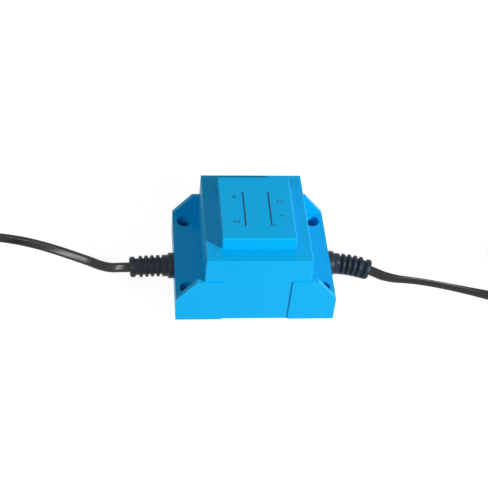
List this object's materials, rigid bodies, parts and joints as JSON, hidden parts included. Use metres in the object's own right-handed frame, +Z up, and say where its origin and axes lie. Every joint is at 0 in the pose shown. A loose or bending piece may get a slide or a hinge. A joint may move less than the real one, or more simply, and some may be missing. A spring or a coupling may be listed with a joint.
{
  "type": "potted isolation transformer",
  "caption": "Potted mains isolation transformer in a blue moulded case with screw-down feet and a flat black flying cord out of a ribbed strain relief on each side.",
  "frame": {"origin": "middle of the case's underside", "axes": "+X from the output cord towards the mains cord, +Y towards the back, +Z up out of the cap"},
  "size_m": [0.4092, 0.0755, 0.0496],
  "materials": {
    "case_blue": "smooth moulded, light satin gloss",
    "resin_black": "cast resin",
    "core_steel": "stamped sheets with scale",
    "bobbin_nylon": "moulded natural",
    "copper_wire": "enamelled wire, layer wound",
    "tape_yellow": "polyester tape",
    "tinned_metal": "tinned",
    "fuse_white": "ceramic",
    "wire_brown": "extruded insulation",
    "wire_blue": "extruded insulation",
    "wire_red": "extruded insulation",
    "wire_black": "extruded insulation",
    "cord_black": "glossy extruded jacket",
    "relief_black": "satin moulded",
    "tie_black": "thin strap"
  },
  "bodies": {
    "root": {"case": "case_blue", "potting_resin": "resin_black", "core_e_stack": "core_steel", "core_i_stack": "core_steel", "bobbin": "bobbin_nylon", "primary_winding": "copper_wire", "secondary_winding": "copper_wire", "primary_tape": "tape_yellow", "secondary_tape": "tape_yellow", "primary_pins": "tinned_metal", "secondary_pins": "tinned_metal", "thermal_fuse": "fuse_white", "fuse_leads": "tinned_metal", "mains_live_core": "wire_brown", "mains_neutral_core": "wire_blue", "output_red_core": "wire_red", "output_black_core": "wire_black", "mains_jacket_end": "cord_black", "output_jacket_end": "cord_black", "mains_strain_relief": "relief_black", "output_strain_relief": "relief_black", "mains_cord": "cord_black", "output_cord": "cord_black", "mains_cord_coil": "cord_black", "output_cord_coil": "cord_black", "mains_coil_tie": "tie_black", "output_coil_tie": "tie_black", "mains_brown_wire": "wire_brown", "mains_blue_wire": "wire_blue", "output_red_wire": "wire_red", "output_black_wire": "wire_black", "mains_tips": "tinned_metal", "output_tips": "tinned_metal"}
  },
  "joints": []
}
